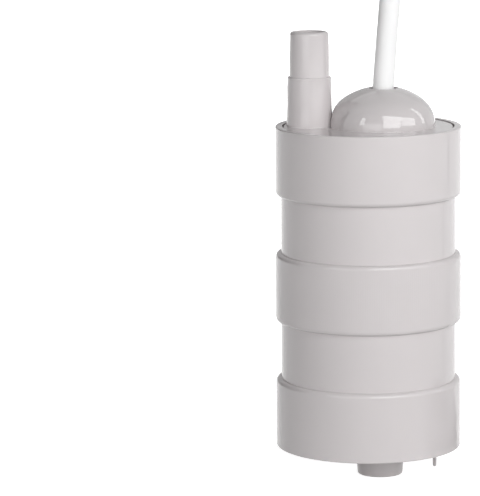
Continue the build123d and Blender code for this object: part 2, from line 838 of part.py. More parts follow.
def make_core_ends(paths):
    bend = core_end_bend_radius
    return group([tube(FilletPolyline(*points, radius=bend), core_radius) for points in paths])


def make_ferrules(paths):
    """A crimped sleeve with its pin on the end of each core."""
    base = (Align.CENTER, Align.CENTER, Align.MIN)
    ferrules = []
    for points in paths:
        along = (points[-1] - points[-2]).normalized()
        sleeve = Plane(points[-1], z_dir=along) * Cylinder(
            ferrule_sleeve_diameter / 2, ferrule_sleeve_length, align=base
        )
        pin = Plane(points[-1] + along * ferrule_sleeve_length, z_dir=along) * Cylinder(
            ferrule_pin_diameter / 2, ferrule_pin_length, align=base
        )
        ferrules.append(sleeve + pin)
    return group(ferrules)


os.makedirs("parts", exist_ok=True)
coil_solid, coil_end, coil_along = make_cable_coil()
core_end_paths = far_end_paths(coil_end, coil_along)

subparts = {
    "housing_shell": make_housing_shell(),
    "outlet_lid": make_outlet_lid(),
    "lid_o_ring": make_lid_o_ring(),
    "capsule_o_ring": make_capsule_o_ring(),
    "cable_dome": make_cable_dome(),
    "cable_grommet": make_grommet(),
    "potting_plug": make_potting_plug(),
    "bottom_cover": make_bottom_cover(),
    "bottom_o_ring": make_bottom_o_ring(),
    "pump_casing": make_pump_casing(),
    "impeller": make_impeller(),
    "motor_capsule": make_motor_capsule(),
    "lip_seal": make_lip_seal(),
    "garter_spring": make_garter_spring(),
    "seal_retainer": make_seal_retainer(),
    "motor_can": make_motor_can(),
    "magnets": make_magnets(),
    "lower_bearing": make_bearing(lower_bearing_bottom),
    "upper_bearing": make_bearing(upper_bearing_bottom),
    "end_bell": make_end_bell(),
    "terminals": make_terminals(),
    "brushes": make_brushes(),
    "brush_springs": make_brush_springs(),
    "motor_spacer": make_motor_spacer(),
    "capacitor": make_capacitor(),
    "supply_cores": make_supply_cores(),
    "shaft": make_shaft(),
    "armature_core": make_armature_core(),
    "armature_windings": make_armature_windings(),
    "commutator_hub": make_commutator_hub(),
    "commutator_segments": make_commutator_segments(),
    "shaft_collars": make_shaft_collars(),
    "cable": make_cable(),
    "cable_coil": coil_solid,
    "core_ends": make_core_ends(core_end_paths),
    "wire_ferrules": make_ferrules(core_end_paths),
}
for name, shape in subparts.items():
    export_step(shape, f"parts/{name}.step")
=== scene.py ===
from math import asin, atan2, cos, hypot, pi, radians, sin, tan

import bpy
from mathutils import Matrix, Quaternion, Vector


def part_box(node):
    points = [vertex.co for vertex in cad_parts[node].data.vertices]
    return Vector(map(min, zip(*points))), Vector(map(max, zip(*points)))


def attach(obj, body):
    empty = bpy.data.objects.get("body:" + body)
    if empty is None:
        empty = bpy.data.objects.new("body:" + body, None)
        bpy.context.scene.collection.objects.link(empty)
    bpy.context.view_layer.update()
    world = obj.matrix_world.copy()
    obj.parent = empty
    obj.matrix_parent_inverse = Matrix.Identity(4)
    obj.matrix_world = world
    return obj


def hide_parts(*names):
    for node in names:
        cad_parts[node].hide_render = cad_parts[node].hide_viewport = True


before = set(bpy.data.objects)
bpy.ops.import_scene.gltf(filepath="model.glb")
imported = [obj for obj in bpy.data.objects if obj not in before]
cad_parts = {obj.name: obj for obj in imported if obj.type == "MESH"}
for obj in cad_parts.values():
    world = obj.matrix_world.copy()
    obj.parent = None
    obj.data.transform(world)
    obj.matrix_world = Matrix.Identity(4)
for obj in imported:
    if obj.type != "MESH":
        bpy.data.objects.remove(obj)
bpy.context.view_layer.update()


# Camera
# A long lens far in front of the pump and a little above it. The pump stands right of the middle of
# the picture, so the camera looks past its left side, without a roll, and the housing stays upright.
lens_length = 234.29
camera_place = Vector((0.0, -0.8619, 0.2049))
point_on_axis = Vector((0.0, 0.0, 0.0507))
turn_left = Quaternion((0, 1, 0), radians(2.275))
tip_up = Quaternion((1, 0, 0), radians(0.745))
bpy.ops.object.select_all(action="DESELECT")
bpy.ops.object.camera_add(location=camera_place)
camera = bpy.context.object
camera.name = "studio_camera"
camera.rotation_mode = "QUATERNION"
camera.rotation_quaternion = (point_on_axis - camera_place).to_track_quat("-Z", "Y") @ turn_left @ tip_up
camera.data.lens = lens_length
camera.data.clip_start = 0.05
camera.data.clip_end = 20.0
bpy.context.scene.camera = camera
bpy.context.scene.view_settings.view_transform = "Standard"


# Floor and air
# A pale sweep that is white in the picture and still takes the pump's soft shadow, in a white room.
# The lamps light the pump: the floor and the room are only white to the eye and in reflections.
def add_node(tree, kind, x=0, y=0, **settings):
    """One node of a material, at a place in its tree, with its settings and its inputs' values."""
    node = tree.nodes.new(kind)
    node.location = (x, y)
    inputs = settings.pop("inputs", {})
    for name, value in settings.items():
        setattr(node, name, value)
    for name, value in inputs.items():
        node.inputs[name].default_value = value
    return node


def seen_directly(tree):
    """One where a ray comes from the eye, from a gloss or through glass, and none elsewhere."""
    path = add_node(tree, "ShaderNodeLightPath", -900, 300)
    first = add_node(tree, "ShaderNodeMath", -700, 300, operation="MAXIMUM")
    second = add_node(tree, "ShaderNodeMath", -500, 300, operation="MAXIMUM")
    tree.links.new(path.outputs["Is Camera Ray"], first.inputs[0])
    tree.links.new(path.outputs["Is Glossy Ray"], first.inputs[1])
    tree.links.new(first.outputs[0], second.inputs[0])
    tree.links.new(path.outputs["Is Transmission Ray"], second.inputs[1])
    return second.outputs[0]


room_light = 0.04
world = bpy.data.worlds.new("white_room")
bpy.context.scene.world = world
world.use_nodes = True
tree = world.node_tree
tree.nodes.clear()
dim_air = add_node(tree, "ShaderNodeBackground", -300, 0, inputs={"Strength": room_light})
white_air = add_node(tree, "ShaderNodeBackground", -300, -150, inputs={"Strength": 1.0})
for air in (dim_air, white_air):
    air.inputs["Color"].default_value = (1.0, 1.0, 1.0, 1.0)
air_mix = add_node(tree, "ShaderNodeMixShader", 0, 0)
air_out = add_node(tree, "ShaderNodeOutputWorld", 200, 0)
tree.links.new(seen_directly(tree), air_mix.inputs[0])
tree.links.new(dim_air.outputs[0], air_mix.inputs[1])
tree.links.new(white_air.outputs[0], air_mix.inputs[2])
tree.links.new(air_mix.outputs[0], air_out.inputs[0])

floor_size = 8.0
floor_colour = (0.80, 0.80, 0.80, 1.0)
floor_white_near, floor_white_far = 0.80, 1.0
near_reach, far_reach = 0.12, 0.55
bpy.ops.mesh.primitive_plane_add(size=floor_size)
floor = bpy.context.object
floor.name = "studio_floor"
paper = bpy.data.materials.new("white_sweep")
paper.use_nodes = True
tree = paper.node_tree
tree.nodes.clear()
paper_matt = add_node(tree, "ShaderNodeBsdfDiffuse", -300, 0, inputs={"Color": floor_colour})
paper_glow = add_node(tree, "ShaderNodeEmission", -300, -150)
paper_place = add_node(tree, "ShaderNodeTexCoord", -1100, -150)
paper_reach = add_node(tree, "ShaderNodeVectorMath", -900, -150, operation="LENGTH")
paper_white = add_node(tree, "ShaderNodeMapRange", -700, -150, interpolation_type="SMOOTHSTEP")
for name, value in (
    ("From Min", near_reach),
    ("From Max", far_reach),
    ("To Min", floor_white_near),
    ("To Max", floor_white_far),
):
    paper_white.inputs[name].default_value = value
tree.links.new(paper_place.outputs["Object"], paper_reach.inputs[0])
tree.links.new(paper_reach.outputs["Value"], paper_white.inputs["Value"])
tree.links.new(paper_white.outputs["Result"], paper_glow.inputs["Strength"])
paper_sum = add_node(tree, "ShaderNodeAddShader", -100, -100)
paper_mix = add_node(tree, "ShaderNodeMixShader", 100, 0)
paper_out = add_node(tree, "ShaderNodeOutputMaterial", 300, 0)
tree.links.new(paper_matt.outputs[0], paper_sum.inputs[0])
tree.links.new(paper_glow.outputs[0], paper_sum.inputs[1])
tree.links.new(seen_directly(tree), paper_mix.inputs[0])
tree.links.new(paper_matt.outputs[0], paper_mix.inputs[1])
tree.links.new(paper_sum.outputs[0], paper_mix.inputs[2])
tree.links.new(paper_mix.outputs[0], paper_out.inputs[0])
floor.data.materials.append(paper)


# Lamps
# Two wide windows high in front on the right light the pump and show in the dome. A narrow window
# on the left and a strip at the right edge draw bright lines, a low broad card lifts the shaded
# side, and a lamp behind lights the back without showing in any gloss.
lamp_aim = Vector((0.0, 0.0, 0.06))
# Azimuth counts from the front to the right, and turned is how far a lamp looks past the pump, in
# degrees. Glow is how bright a lamp's face is, where 1 is white paper.
for name, azimuth, elevation, distance, width, height, glow, turned in (
    ("front_window", 25.0, 26.0, 1.3, 0.92, 0.96, 3.55, 20.0),
    ("right_window", 65.0, 21.0, 1.35, 0.90, 0.56, 3.0, 36.0),
    ("left_window", -46.0, 25.0, 1.2, 0.20, 0.50, 3.0, 0.0),
    ("right_strip", 102.0, 28.0, 1.2, 0.16, 0.9, 2.4, 0.0),
    ("front_card", -22.0, 5.0, 1.2, 0.9, 0.7, 1.35, 0.0),
    ("rear_fill", 190.0, 14.0, 1.5, 1.8, 0.8, 2.6, 0.0),
):
    around, up = radians(azimuth), radians(elevation)
    from_pump = Vector((sin(around) * cos(up), -cos(around) * cos(up), sin(up)))
    bpy.ops.object.light_add(type="AREA", location=lamp_aim + from_pump * distance)
    lamp = bpy.context.object
    lamp.name = name
    lamp.rotation_mode = "QUATERNION"
    facing = Quaternion((0, 0, 1), radians(-turned)) @ from_pump
    lamp.rotation_quaternion = facing.to_track_quat("Z", "Y")
    lamp.data.shape = "RECTANGLE"
    lamp.data.size = width
    lamp.data.size_y = height
    lamp.data.energy = glow * pi * width * height
    lamp.visible_camera = False
    lamp.visible_glossy = name != "rear_fill"


# Grey cards
# Three standing cards outside the picture, which show only in gloss. A grey one and a paler one
# behind the pump give the flat lid its tone, and a dark one on the left darkens the shaded edges.
card_distance, card_height, card_gap = 1.9, 1.6, 0.01
for name, azimuth, width, grey in (
    ("rear_flag", 196.8, 1.1, 0.5),
    ("rear_pale_flag", 163.2, 1.1, 0.82),
    ("left_flag", -122.0, 2.0, 0.08),
):
    around = radians(azimuth)
    place = (sin(around) * card_distance, -cos(around) * card_distance, card_height / 2 + card_gap)
    bpy.ops.object.select_all(action="DESELECT")
    bpy.ops.mesh.primitive_plane_add(size=1.0, location=place, rotation=(pi / 2, 0, around))
    card = bpy.context.object
    card.name = name
    card.scale = (width, card_height, 1.0)
    bpy.ops.object.transform_apply(location=True, rotation=True, scale=True)
    card.visible_camera = card.visible_diffuse = card.visible_shadow = False
    even_grey = bpy.data.materials.new(name)
    even_grey.use_nodes = True
    tree = even_grey.node_tree
    tree.nodes.clear()
    card_glow = add_node(tree, "ShaderNodeEmission", -200, 0, inputs={"Strength": grey})
    tree.links.new(card_glow.outputs[0], add_node(tree, "ShaderNodeOutputMaterial").inputs[0])
    card.data.materials.append(even_grey)


# Core ends
# Two wires with thin coloured insulation, stripped out of the cable's sheath at its far end: they
# part, come down to the floor and end in their ferrules. Brown is plus and blue is minus.
mm = 0.001


def start_effect(name, inputs, outputs):
    """An empty node group. Its socket named Colour is a colour and the others are plain values."""
    group = bpy.data.node_groups.new(name, "ShaderNodeTree")
    for in_out, sockets in (("INPUT", inputs), ("OUTPUT", outputs)):
        for socket in sockets:
            kind = "NodeSocketColor" if socket == "Colour" else "NodeSocketFloat"
            group.interface.new_socket(socket, in_out=in_out, socket_type=kind)
    return group


def make_cloudy_surface():
    """The effect that every finish here comes from, as a node group: cloudy drift in the colour and
    the gloss, and a height of clouds and fine grain for the relief."""
    look = ("Colour", "Colour Drift", "Roughness", "Roughness Drift")
    sizes = ("Cloud Scale", "Grain Scale", "Grain Share")
    group = start_effect("cloudy_surface", look + sizes, ("Colour", "Roughness", "Height"))
    given = add_node(group, "NodeGroupInput", -900, 0)
    place = add_node(group, "ShaderNodeTexCoord", -900, 300)
    clouds = add_node(group, "ShaderNodeTexNoise", -600, 300, inputs={"Detail": 4.0, "Roughness": 0.55})
    grain = add_node(group, "ShaderNodeTexNoise", -600, 0, inputs={"Detail": 3.0, "Roughness": 0.6})
    tone = add_node(group, "ShaderNodeMapRange", -350, 300, inputs={"From Min": 0.3, "From Max": 0.7})
    drift = add_node(group, "ShaderNodeMath", -150, 300, operation="MULTIPLY_ADD")
    drift.inputs[2].default_value = 1.0
    tone.inputs["To Min"].default_value = -1.0
    tone.inputs["To Max"].default_value = 1.0
    tint = add_node(group, "ShaderNodeHueSaturation", 100, 300)
    gloss = add_node(group, "ShaderNodeMath", 100, 0, operation="MULTIPLY_ADD")
    relief = add_node(group, "ShaderNodeMix", 100, -200, data_type="FLOAT")
    given_out = add_node(group, "NodeGroupOutput", 400, 0)
    link = group.links.new
    for texture, size in ((clouds, "Cloud Scale"), (grain, "Grain Scale")):
        link(place.outputs["Object"], texture.inputs["Vector"])
        link(given.outputs[size], texture.inputs["Scale"])
    link(clouds.outputs["Fac"], tone.inputs["Value"])
    link(tone.outputs["Result"], drift.inputs[0])
    link(given.outputs["Colour Drift"], drift.inputs[1])
    link(given.outputs["Colour"], tint.inputs["Color"])
    link(drift.outputs[0], tint.inputs["Value"])
    link(tone.outputs["Result"], gloss.inputs[0])
    link(given.outputs["Roughness Drift"], gloss.inputs[1])
    link(given.outputs["Roughness"], gloss.inputs[2])
    link(given.outputs["Grain Share"], relief.inputs["Factor"])
    link(clouds.outputs["Fac"], relief.inputs["A"])
    link(grain.outputs["Fac"], relief.inputs["B"])
    link(tint.outputs["Color"], given_out.inputs["Colour"])
    link(gloss.outputs[0], given_out.inputs["Roughness"])
    link(relief.outputs["Result"], given_out.inputs["Height"])
    return group


cloudy_surface = make_cloudy_surface()


def make_finish(
    name,
    colour,
    colour_drift=0.03,
    roughness=0.3,
    roughness_drift=0.05,
    cloud_size=20 * mm,
    grain_size=0.5 * mm,
    grain_share=0.3,
    relief=0.02 * mm,
    metallic=0.0,
    coat=0.0,
):
    """A material on the shared effect. Sizes are those of the real clouds, grain and relief."""
    material = bpy.data.materials.new(name)
    material.use_nodes = True
    tree = material.node_tree
    shader = tree.nodes["Principled BSDF"]
    effect = add_node(tree, "ShaderNodeGroup", -600, 0, node_tree=cloudy_surface)
    for socket, value in (
        ("Colour", (*colour, 1.0)),
        ("Colour Drift", colour_drift),
        ("Roughness", roughness),
        ("Roughness Drift", roughness_drift),
        ("Cloud Scale", 1 / cloud_size),
        ("Grain Scale", 1 / grain_size),
        ("Grain Share", grain_share),
    ):
        effect.inputs[socket].default_value = value
    bump = add_node(tree, "ShaderNodeBump", -250, -200, inputs={"Strength": 1.0, "Distance": relief})
    shader.inputs["Metallic"].default_value = metallic
    shader.inputs["Coat Weight"].default_value = coat
    tree.links.new(effect.outputs["Colour"], shader.inputs["Base Color"])
    tree.links.new(effect.outputs["Roughness"], shader.inputs["Roughness"])
    tree.links.new(effect.outputs["Height"], bump.inputs["Height"])
    tree.links.new(bump.outputs["Normal"], shader.inputs["Normal"])
    return material


def paint(piece, material):
    """Gives a piece its one material."""
    piece.data.materials.clear()
    piece.data.materials.append(material)


core_diameter = 2.2 * mm
brown_plastic = make_finish("brown_core_plastic", (0.10, 0.042, 0.018), roughness=0.38, cloud_size=6 * mm)
blue_plastic = make_finish("blue_core_plastic", (0.022, 0.09, 0.33), roughness=0.38, cloud_size=6 * mm)


def smooth_cord(name, points, diameter, finish, resolution=8):
    """A round cord on one smooth line that the points guide, as a curve of one open spline."""
    curve = bpy.data.curves.new(name, "CURVE")
    curve.dimensions = "3D"
    curve.bevel_depth = diameter / 2
    curve.bevel_resolution = 6
    curve.use_fill_caps = True
    spline = curve.splines.new("NURBS")
    spline.points.add(len(points) - 1)
    for knot, place in zip(spline.points, points):
        knot.co = (*place, 1.0)
    spline.order_u = 3
    spline.use_endpoint_u = True
    spline.resolution_u = resolution
    cord = bpy.data.objects.new(name, curve)
    bpy.context.scene.collection.objects.link(cord)
    curve.materials.append(finish)
    return cord


sheath_end = (0.0762, -0.0340, 0.0090)
core_start_x, core_drop_x, core_landing_x, core_end_x = 0.0742, 0.0842, 0.0922, 0.1002
core_floor = 1.5 * mm
brown_y, blue_y, blue_far_y = -0.0353, -0.0327, -0.0275
for name, near_y, far_y, finish in (
    ("brown_core", brown_y, brown_y, brown_plastic),
    ("blue_core", blue_y, blue_far_y, blue_plastic),
):
    core_points = [
        (core_start_x, near_y, sheath_end[2]),
        (core_drop_x, near_y, sheath_end[2]),
        (core_landing_x, far_y, core_floor),
        (core_end_x, far_y, core_floor),
    ]
    core = smooth_cord(name, core_points, core_diameter, finish)
    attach(core, "housing")
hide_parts("core_ends")


# Wire ferrules
# A tinned copper sleeve on each core's end: a wide collar that takes the insulation, and a narrow
# pin that the crimping tool has pressed into ridges round the strands.
collar_radius, collar_length = 1.5 * mm, 5.5 * mm
mouth_depth, lip_edge, lip_length = 0.3 * mm, 0.12 * mm, 0.6 * mm
neck_depth, neck_slope = 0.2 * mm, 1.2 * mm
pin_radius, pin_length, pin_edge = 0.8 * mm, 5.0 * mm, 0.15 * mm
crimp_count, crimp_depth = 4, 0.14 * mm
# Along one crimp: the share of the pitch, and how deep the pin is pressed in there.
crimp_line = ((0.0, 0.0), (0.25, crimp_depth), (0.6, crimp_depth), (0.85, 0.0))
tinned_copper = make_finish(
    "tinned_copper", (0.42, 0.41, 0.40), roughness=0.45, metallic=1.0, cloud_size=2 * mm, relief=0.01 * mm
)


def pulled_ring(name, outline, x=0.0, y=0.0, steps=160):
    """Starts with a ring at the outline's first point and pulls it on from point to point. An
    outline gives (radius, height) and a ring of no radius closes the piece at a pole."""
    bpy.ops.object.select_all(action="DESELECT")
    radius, height = outline[0]
    bpy.ops.mesh.primitive_circle_add(vertices=steps, radius=radius, location=(x, y, height))
    piece = bpy.context.object
    piece.name = piece.data.name = name
    bpy.ops.object.transform_apply(location=True, rotation=False, scale=False)
    bpy.ops.object.mode_set(mode="EDIT")
    for next_radius, next_height in outline[1:]:
        rise = (0, 0, next_height - height)
        bpy.ops.mesh.extrude_edges_move(TRANSFORM_OT_translate={"value": rise})
        if next_radius == 0:
            bpy.ops.mesh.merge(type="CENTER")
        elif next_radius != radius:
            share = next_radius / radius
            centre = (x, y, next_height)
            bpy.ops.transform.resize(value=(share, share, 1), center_override=centre)
        radius, height = next_radius, next_height
    bpy.ops.object.mode_set(mode="OBJECT")
    return piece


def pick(*pieces):
    """Makes these pieces the ones that Blender's operators work on, with the first one active."""
    bpy.ops.object.select_all(action="DESELECT")
    for piece in pieces:
        piece.select_set(True)
    bpy.context.view_layer.objects.active = pieces[0]


def close_up(piece):
    """Merges what meets and turns all faces outwards."""
    pick(piece)
    bpy.ops.object.mode_set(mode="EDIT")
    bpy.ops.mesh.select_all(action="SELECT")
    bpy.ops.mesh.remove_doubles(threshold=0.002 * mm)
    bpy.ops.mesh.normals_make_consistent(inside=False)
    bpy.ops.object.mode_set(mode="OBJECT")


def apply_modifier(piece, kind, **settings):
    """Adds one modifier and applies it."""
    pick(piece)
    modifier = piece.modifiers.new(kind, kind)
    for name, value in settings.items():
        setattr(modifier, name, value)
    bpy.ops.object.modifier_apply(modifier=modifier.name)


def shade(piece, angle=40.0):
    """Smooth faces with crisp corners, and flats that stay flat beside their rounded edges."""
    pick(piece)
    bpy.ops.object.shade_smooth_by_angle(angle=radians(angle))
    apply_modifier(piece, "WEIGHTED_NORMAL", keep_sharp=True, weight=80)


def lay_down(piece, place):
    """Turns a piece that was made upright at the origin so that it points along X, at its place."""
    pick(piece)
    piece.rotation_euler = (0, pi / 2, 0)
    piece.location = place
    bpy.ops.object.transform_apply(location=True, rotation=True, scale=False)


neck_radius = collar_radius - neck_depth
ferrule_line = [
    (core_diameter / 2, mouth_depth),
    (collar_radius - lip_edge, 0.0),
    (collar_radius, lip_edge),
    (collar_radius, lip_length),
    (neck_radius, neck_slope),
    (neck_radius, collar_length - neck_slope),
    (pin_radius, collar_length),
]
crimp_pitch = pin_length / (crimp_count + 1)
for number in range(crimp_count):
    start = collar_length + crimp_pitch * (number + 0.5)
    ferrule_line += [(pin_radius - depth, start + crimp_pitch * share) for share, depth in crimp_line]
pin_tip = collar_length + pin_length
ferrule_line += [(pin_radius, pin_tip - pin_edge), (pin_radius - pin_edge, pin_tip), (0, pin_tip)]
for core_name, core_y in (("brown_core", brown_y), ("blue_core", blue_far_y)):
    ferrule = pulled_ring(core_name + "_ferrule", ferrule_line, steps=32)
    close_up(ferrule)
    lay_down(ferrule, (core_end_x, core_y, core_floor))
    shade(ferrule, angle=35.0)
    paint(ferrule, tinned_copper)
    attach(ferrule, "housing")
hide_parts("wire_ferrules")


# Cable
# A round two-core cable with a smooth white sheath, moulded fast in the resin under the dome. It
# goes straight up, over in one arch and down beside the pump, and its spare length lies in a coil.
cable_diameter = 5.7 * mm
cable_radius = cable_diameter / 2
white_sheath = make_finish(
    "white_sheath",
    (0.95, 0.95, 0.95),
    colour_drift=0.01,
    roughness=0.36,
    roughness_drift=0.04,
    cloud_size=12 * mm,
    grain_size=0.3 * mm,
    relief=0.01 * mm,
)
cable_points = [
    (0.0034, 0.0, 0.0970),
    (0.0058, 0.0, 0.1320),
    (0.0092, 0.0, 0.1630),
    (0.0540, 0.0090, 0.2000),
    (0.0930, 0.0190, 0.1850),
    (0.1070, 0.0270, 0.1410),
    (0.1099, 0.0320, 0.0900),
    (0.1095, 0.0340, 0.0500),
    (0.1091, 0.0340, 0.02525),
    (0.1009, 0.0340, 0.01105),
    (0.0867, 0.0340, 0.00285),
    (0.0762, 0.0340, 0.00285),
]
coil_centre_x = 0.0705
coil_radius = 34.0 * mm
coil_turns, coil_start_turn, climb_turns = 3.5, 0.25, 0.5
coil_gap = 0.45 * mm
coil_pitch = cable_diameter + coil_gap
points_per_turn = 24
# The coil runs inwards on the floor, climbs on itself halfway and runs out again on top.
for number in range(round(coil_turns * points_per_turn) + 1):
    turns = number / points_per_turn
    radius = coil_radius - coil_pitch * min(turns, coil_turns - turns)
    climb = min(max((turns - coil_turns / 2) / climb_turns + 0.5, 0.0), 1.0)
    angle = 2 * pi * (turns + coil_start_turn)
    rise = coil_pitch * (1 - cos(pi * climb)) / 2
    cable_points.append((coil_centre_x + radius * cos(angle), radius * sin(angle), cable_radius + rise))
cable_points.append(sheath_end)
cable = smooth_cord("supply_cable", cable_points, cable_diameter, white_sheath, resolution=10)
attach(cable, "housing")
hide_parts("cable", "cable_coil")


# Housing shell
# One tube, injection moulded in a glossy warm grey plastic. Three wide bands stand out from its
# wall with rounded edges, and both ends are rebated for the covers.
housing_radius = 25.0 * mm
waist_radius = 23.55 * mm
rebate_radius = 23.15 * mm
bore_radius = 21.7 * mm
housing_bottom, housing_top = 8.2 * mm, 95.7 * mm
cover_ledge, lid_ledge = 11.4 * mm, 92.5 * mm
band_height = 18.8 * mm
waist_height = (housing_top - housing_bottom - 3 * band_height) / 2
band_edge_radius = 1.25 * mm
rim_edge_radius = 0.4 * mm
inner_edge_radius = 0.12 * mm
grey_colour = (0.656, 0.620, 0.624)
grey_plastic = make_finish(
    "glossy_grey_plastic",
    grey_colour,
    colour_drift=0.012,
    roughness=0.06,
    roughness_drift=0.015,
    cloud_size=30 * mm,
    grain_size=0.8 * mm,
    grain_share=0.15,
    relief=0.03 * mm,
)
ring_tolerance = 0.004 * mm


def soften(piece, rings, width, x=0.0, segments=6):
    """Rounds the edge rings that lie at the given (radius, height) about an upright axis."""
    pick(piece)
    bpy.context.tool_settings.mesh_select_mode = (False, True, False)
    bpy.ops.object.mode_set(mode="EDIT")
    bpy.ops.mesh.select_all(action="DESELECT")
    bpy.ops.object.mode_set(mode="OBJECT")
    on_ring = [
        any(
            abs(hypot(vertex.co.x - x, vertex.co.y) - radius) < ring_tolerance
            and abs(vertex.co.z - height) < ring_tolerance
            for radius, height in rings
        )
        for vertex in piece.data.vertices
    ]
    for edge in piece.data.edges:
        edge.select = on_ring[edge.vertices[0]] and on_ring[edge.vertices[1]]
    bpy.ops.object.mode_set(mode="EDIT")
    bpy.ops.mesh.bevel(offset=width, segments=segments, affect="EDGES", clamp_overlap=False)
    bpy.ops.object.mode_set(mode="OBJECT")


lower_waist_bottom = housing_bottom + band_height
lower_waist_top = lower_waist_bottom + waist_height
upper_waist_bottom = lower_waist_top + band_height
upper_waist_top = upper_waist_bottom + waist_height
shell = pulled_ring(
    "housing_tube",
    [
        (rebate_radius, housing_bottom),
        (housing_radius, housing_bottom),
        (housing_radius, lower_waist_bottom),
        (waist_radius, lower_waist_bottom),
        (waist_radius, lower_waist_top),
        (housing_radius, lower_waist_top),
        (housing_radius, upper_waist_bottom),
        (waist_radius, upper_waist_bottom),
        (waist_radius, upper_waist_top),
        (housing_radius, upper_waist_top),
        (housing_radius, housing_top),
        (rebate_radius, housing_top),
        (rebate_radius, lid_ledge),
        (bore_radius, lid_ledge),
        (bore_radius, cover_ledge),
        (rebate_radius, cover_ledge),
        (rebate_radius, housing_bottom),
    ],
    steps=256,
)
close_up(shell)
band_edges = [
    (housing_radius, level)
    for level in (lower_waist_bottom, lower_waist_top, upper_waist_bottom, upper_waist_top)
]
soften(shell, band_edges, band_edge_radius, segments=8)
soften(shell, [(housing_radius, housing_bottom), (housing_radius, housing_top)], rim_edge_radius)
rim_edges = [(rebate_radius, housing_bottom), (rebate_radius, housing_top)]
soften(shell, rim_edges, inner_edge_radius, segments=3)
shade(shell)
paint(shell, grey_plastic)
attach(shell, "housing")
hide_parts("housing_shell")


# Bottom cover
# The disc that closes the bottom, moulded in one with the inlet nozzle, on whose mouth the pump
# stands, and with one thin stand-off pin. Its skirt carries the lower O-ring.
flange_radius = 22.75 * mm
skirt_radius, skirt_inner_radius = 21.55 * mm, 19.15 * mm
groove_radius = 20.1 * mm
motor_x = 3.2 * mm
lid_edge_radius, bore_edge_radius = 0.15 * mm, 0.25 * mm
cover_bottom = 8.4 * mm
cover_groove_bottom, cover_groove_top = 13.4 * mm, 15.4 * mm
cover_skirt_top = 17.4 * mm
nozzle_top_radius, nozzle_mouth_radius = 6.68 * mm, 6.15 * mm
inlet_radius, lip_radius, lip_top = 4.2 * mm, 5.6 * mm, 11.9 * mm
nozzle_edge_radius = 0.5 * mm
pin_x, pin_y, stand_pin_radius = 18.25 * mm, 7.5 * mm, 0.525 * mm
quarter_steps = 6
quarter_turn = [radians(90 * number / quarter_steps) for number in range(quarter_steps + 1)]


def fill_level(piece, height):
    """Fills the flat between all open rings that lie at one height."""
    pick(piece)
    bpy.context.tool_settings.mesh_select_mode = (False, True, False)
    bpy.ops.object.mode_set(mode="EDIT")
    bpy.ops.mesh.select_all(action="DESELECT")
    bpy.ops.mesh.select_non_manifold()
    bpy.ops.object.mode_set(mode="OBJECT")
    for edge in piece.data.edges:
        ends = [piece.data.vertices[number].co.z for number in edge.vertices]
        edge.select = edge.select and all(abs(end - height) < ring_tolerance for end in ends)
    bpy.ops.object.mode_set(mode="EDIT")
    bpy.ops.mesh.fill(use_beauty=True)
    bpy.ops.object.mode_set(mode="OBJECT")


def join(name, pieces):
    """Makes several meshes one piece."""
    pick(*pieces)
    bpy.ops.object.join()
    pieces[0].name = pieces[0].data.name = name
    return pieces[0]


cover_rim = pulled_ring(
    "cover_rim",
    [
        (flange_radius, cover_bottom),
        (flange_radius, cover_ledge),
        (skirt_radius, cover_ledge),
        (skirt_radius, cover_groove_bottom),
        (groove_radius, cover_groove_bottom),
        (groove_radius, cover_groove_top),
        (skirt_radius, cover_groove_top),
        (skirt_radius, cover_skirt_top),
        (skirt_inner_radius, cover_skirt_top),
        (skirt_inner_radius, cover_ledge),
    ],
    steps=256,
)
nozzle = pulled_ring(
    "inlet_nozzle",
    [
        (nozzle_top_radius, cover_bottom),
        (nozzle_mouth_radius, 0.0),
        (inlet_radius, 0.0),
        (inlet_radius, lip_top),
        (lip_radius, lip_top),
        (lip_radius, cover_ledge),
    ],
    x=motor_x,
)
soften(nozzle, [(nozzle_mouth_radius, 0.0)], nozzle_edge_radius, x=motor_x)
soften(nozzle, [(inlet_radius, 0.0)], bore_edge_radius, x=motor_x)
pin_end = [
    (stand_pin_radius * cos(angle), stand_pin_radius * (1 - sin(angle))) for angle in quarter_turn[:-1]
]
stand_pin = pulled_ring(
    "stand_pin", [(stand_pin_radius, cover_bottom)] + pin_end + [(0, 0.0)], x=pin_x, y=pin_y, steps=24
)
cover = join("bottom_cover_moulding", [cover_rim, nozzle, stand_pin])
fill_level(cover, cover_bottom)
fill_level(cover, cover_ledge)
close_up(cover)
soften(cover, [(flange_radius, cover_bottom)], lid_edge_radius, segments=3)
shade(cover)
paint(cover, grey_plastic)
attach(cover, "housing")
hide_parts("bottom_cover")


# Bottom O-ring
# A black rubber ring in the groove of the cover's skirt. It keeps water out of the gap to the
# housing, should the glue leak.
def dress(name, material):
    """Gives a part that comes straight from the frame its finish."""
    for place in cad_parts[name].material_slots:
        place.material = material


black_rubber = make_finish(
    "black_rubber",
    (0.014, 0.014, 0.015),
    colour_drift=0.2,
    roughness=0.5,
    roughness_drift=0.1,
    cloud_size=3 * mm,
    grain_size=0.12 * mm,
    grain_share=0.6,
)
dress("bottom_o_ring", black_rubber)


# Pump casing
# The spiral chamber round the impeller with its flat ceiling, moulded in a dark filled plastic. It
# stands on the cover and leads the water up past the motor.
dark_plastic = make_finish(
    "dark_filled_plastic",
    (0.022, 0.022, 0.024),
    colour_drift=0.12,
    roughness=0.42,
    roughness_drift=0.08,
    cloud_size=8 * mm,
    grain_size=0.25 * mm,
    grain_share=0.5,
)
dress("pump_casing", dark_plastic)


# Impeller
# A disc with six curved blades that throw the water outwards, moulded in natural acetal, which is a
# milky white plastic. It is pressed on the shaft's lower end.
milky_plastic = make_finish(
    "milky_acetal",
    (0.76, 0.76, 0.72),
    colour_drift=0.025,
    roughness=0.3,
    roughness_drift=0.05,
    cloud_size=5 * mm,
    grain_size=0.2 * mm,
)
dress("impeller", milky_plastic)


